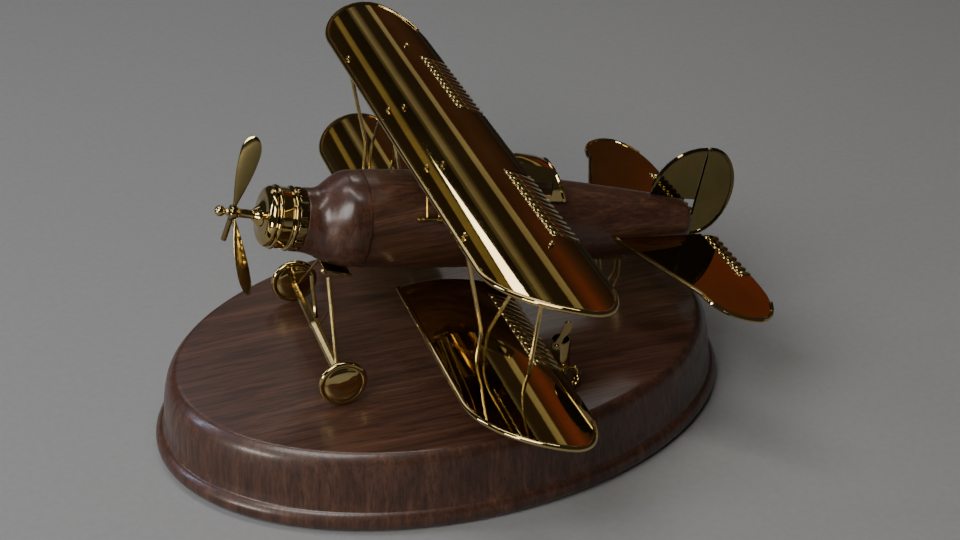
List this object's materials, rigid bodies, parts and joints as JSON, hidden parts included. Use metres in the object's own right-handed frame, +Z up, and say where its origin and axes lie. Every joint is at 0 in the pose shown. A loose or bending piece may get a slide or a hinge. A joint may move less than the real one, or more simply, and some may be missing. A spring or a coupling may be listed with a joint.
{
  "type": "biplane desk model",
  "caption": "Brass biplane display model with carved walnut fuselage, turning propeller and wheels, hinged control surfaces, on an oval walnut base.",
  "frame": {"origin": "centre of the base's underside, where the felt meets the desk", "axes": "+Z up, -X towards the aircraft's nose, +Y towards its starboard wing tip"},
  "size_m": [0.3332, 0.3526, 0.18],
  "materials": {
    "brass": "polished, mirror-like",
    "dark_brass": "darkened, polished",
    "walnut": "satin lacquer",
    "felt": "matt baize"
  },
  "bodies": {
    "model": {"cowl_drum": "brass", "cowl_dome": "brass", "shaft_housing": "brass", "upper_wing": "brass", "lower_wing_left": "brass", "lower_wing_right": "brass", "strut_front_left": "brass", "strut_front_right": "brass", "strut_rear_left": "brass", "strut_rear_right": "brass", "strut_diagonal_left": "brass", "strut_diagonal_right": "brass", "cabane_front_left": "brass", "cabane_front_right": "brass", "cabane_rear_left": "brass", "cabane_rear_right": "brass", "cabane_foot_left": "brass", "cabane_foot_right": "brass", "cockpit_hood": "brass", "fin": "brass", "stabiliser_left": "brass", "stabiliser_right": "brass", "tail_fork": "brass", "axle_fairing": "brass", "gear_saddle": "brass", "gear_leg_left": "brass", "gear_leg_centre": "brass", "gear_brace_left": "brass", "gear_brace_right": "brass", "stand_tube": "brass", "exhaust_collar": "dark_brass", "axle_rod": "dark_brass", "base_board": "walnut", "fuselage_body": "walnut", "nose_block": "walnut", "base_felt": "felt"},
    "propeller": {"propeller_hub": "brass", "propeller_blade_a": "brass", "propeller_blade_b": "brass", "propeller_stub": "dark_brass", "spinner_nut": "brass"},
    "wheel_left": {"wheel_left": "brass"},
    "wheel_right": {"wheel_right": "brass"},
    "tail_wheel": {"tail_wheel": "dark_brass"},
    "aileron_upper_left": {"aileron_upper_left": "brass"},
    "aileron_upper_right": {"aileron_upper_right": "brass"},
    "aileron_lower_left": {"aileron_lower_left": "brass"},
    "aileron_lower_right": {"aileron_lower_right": "brass"},
    "elevators": {"elevator_left": "brass", "elevator_right": "brass"},
    "rudder": {"rudder": "brass"},
    "stand_lever": {"stand_lever": "brass"}
  },
  "joints": [
    {"name": "propeller_spin", "type": "hinge", "parent": "model", "child": "propeller", "pos_m": [-0.0764, 0, 0.1279], "axis": [-0.9521, 0, 0.3057], "continuous": true},
    {"name": "wheel_left_spin", "type": "hinge", "parent": "model", "child": "wheel_left", "pos_m": [-0.0682, -0.051, 0.0576], "axis": [0, 1, 0], "continuous": true},
    {"name": "wheel_right_spin", "type": "hinge", "parent": "model", "child": "wheel_right", "pos_m": [-0.0682, 0.051, 0.0576], "axis": [0, 1, 0], "continuous": true},
    {"name": "tail_wheel_spin", "type": "hinge", "parent": "model", "child": "tail_wheel", "pos_m": [0.0986, 0, 0.0479], "axis": [0, 1, 0], "continuous": true},
    {"name": "aileron_upper_right_hinge", "type": "hinge", "parent": "model", "child": "aileron_upper_right", "pos_m": [0.02413, 0.0698, 0.15696], "axis": [0, 1, 0], "range_deg": [-20, 20]},
    {"name": "aileron_upper_left_hinge", "type": "hinge", "parent": "model", "child": "aileron_upper_left", "pos_m": [0.02413, -0.0698, 0.15696], "axis": [0, 1, 0], "range_deg": [-20, 20]},
    {"name": "aileron_lower_right_hinge", "type": "hinge", "parent": "model", "child": "aileron_lower_right", "pos_m": [0.01673, 0.0698, 0.08416], "axis": [0, 1, 0], "range_deg": [-20, 20]},
    {"name": "aileron_lower_left_hinge", "type": "hinge", "parent": "model", "child": "aileron_lower_left", "pos_m": [0.01673, -0.0698, 0.08416], "axis": [0, 1, 0], "range_deg": [-20, 20]},
    {"name": "elevator_hinge", "type": "hinge", "parent": "model", "child": "elevators", "pos_m": [0.14992, 0, 0.08117], "axis": [0, 1, 0], "range_deg": [-20, 20]},
    {"name": "rudder_hinge", "type": "hinge", "parent": "model", "child": "rudder", "pos_m": [0.15166, 0, 0.10122], "axis": [0.1994, 0, 0.9799], "range_deg": [-25, 25]},
    {"name": "stand_lever_pivot", "type": "hinge", "parent": "model", "child": "stand_lever", "pos_m": [0.0408, -0.07055, 0.0695], "axis": [-0.328, -0.9447, 0], "range_deg": [-20, 50]}
  ],
  "couplings": [
    {"joint": "aileron_lower_right_hinge", "follows": "aileron_upper_right_hinge", "ratio": 1},
    {"joint": "aileron_upper_left_hinge", "follows": "aileron_upper_right_hinge", "ratio": -1},
    {"joint": "aileron_lower_left_hinge", "follows": "aileron_upper_right_hinge", "ratio": -1}
  ]
}
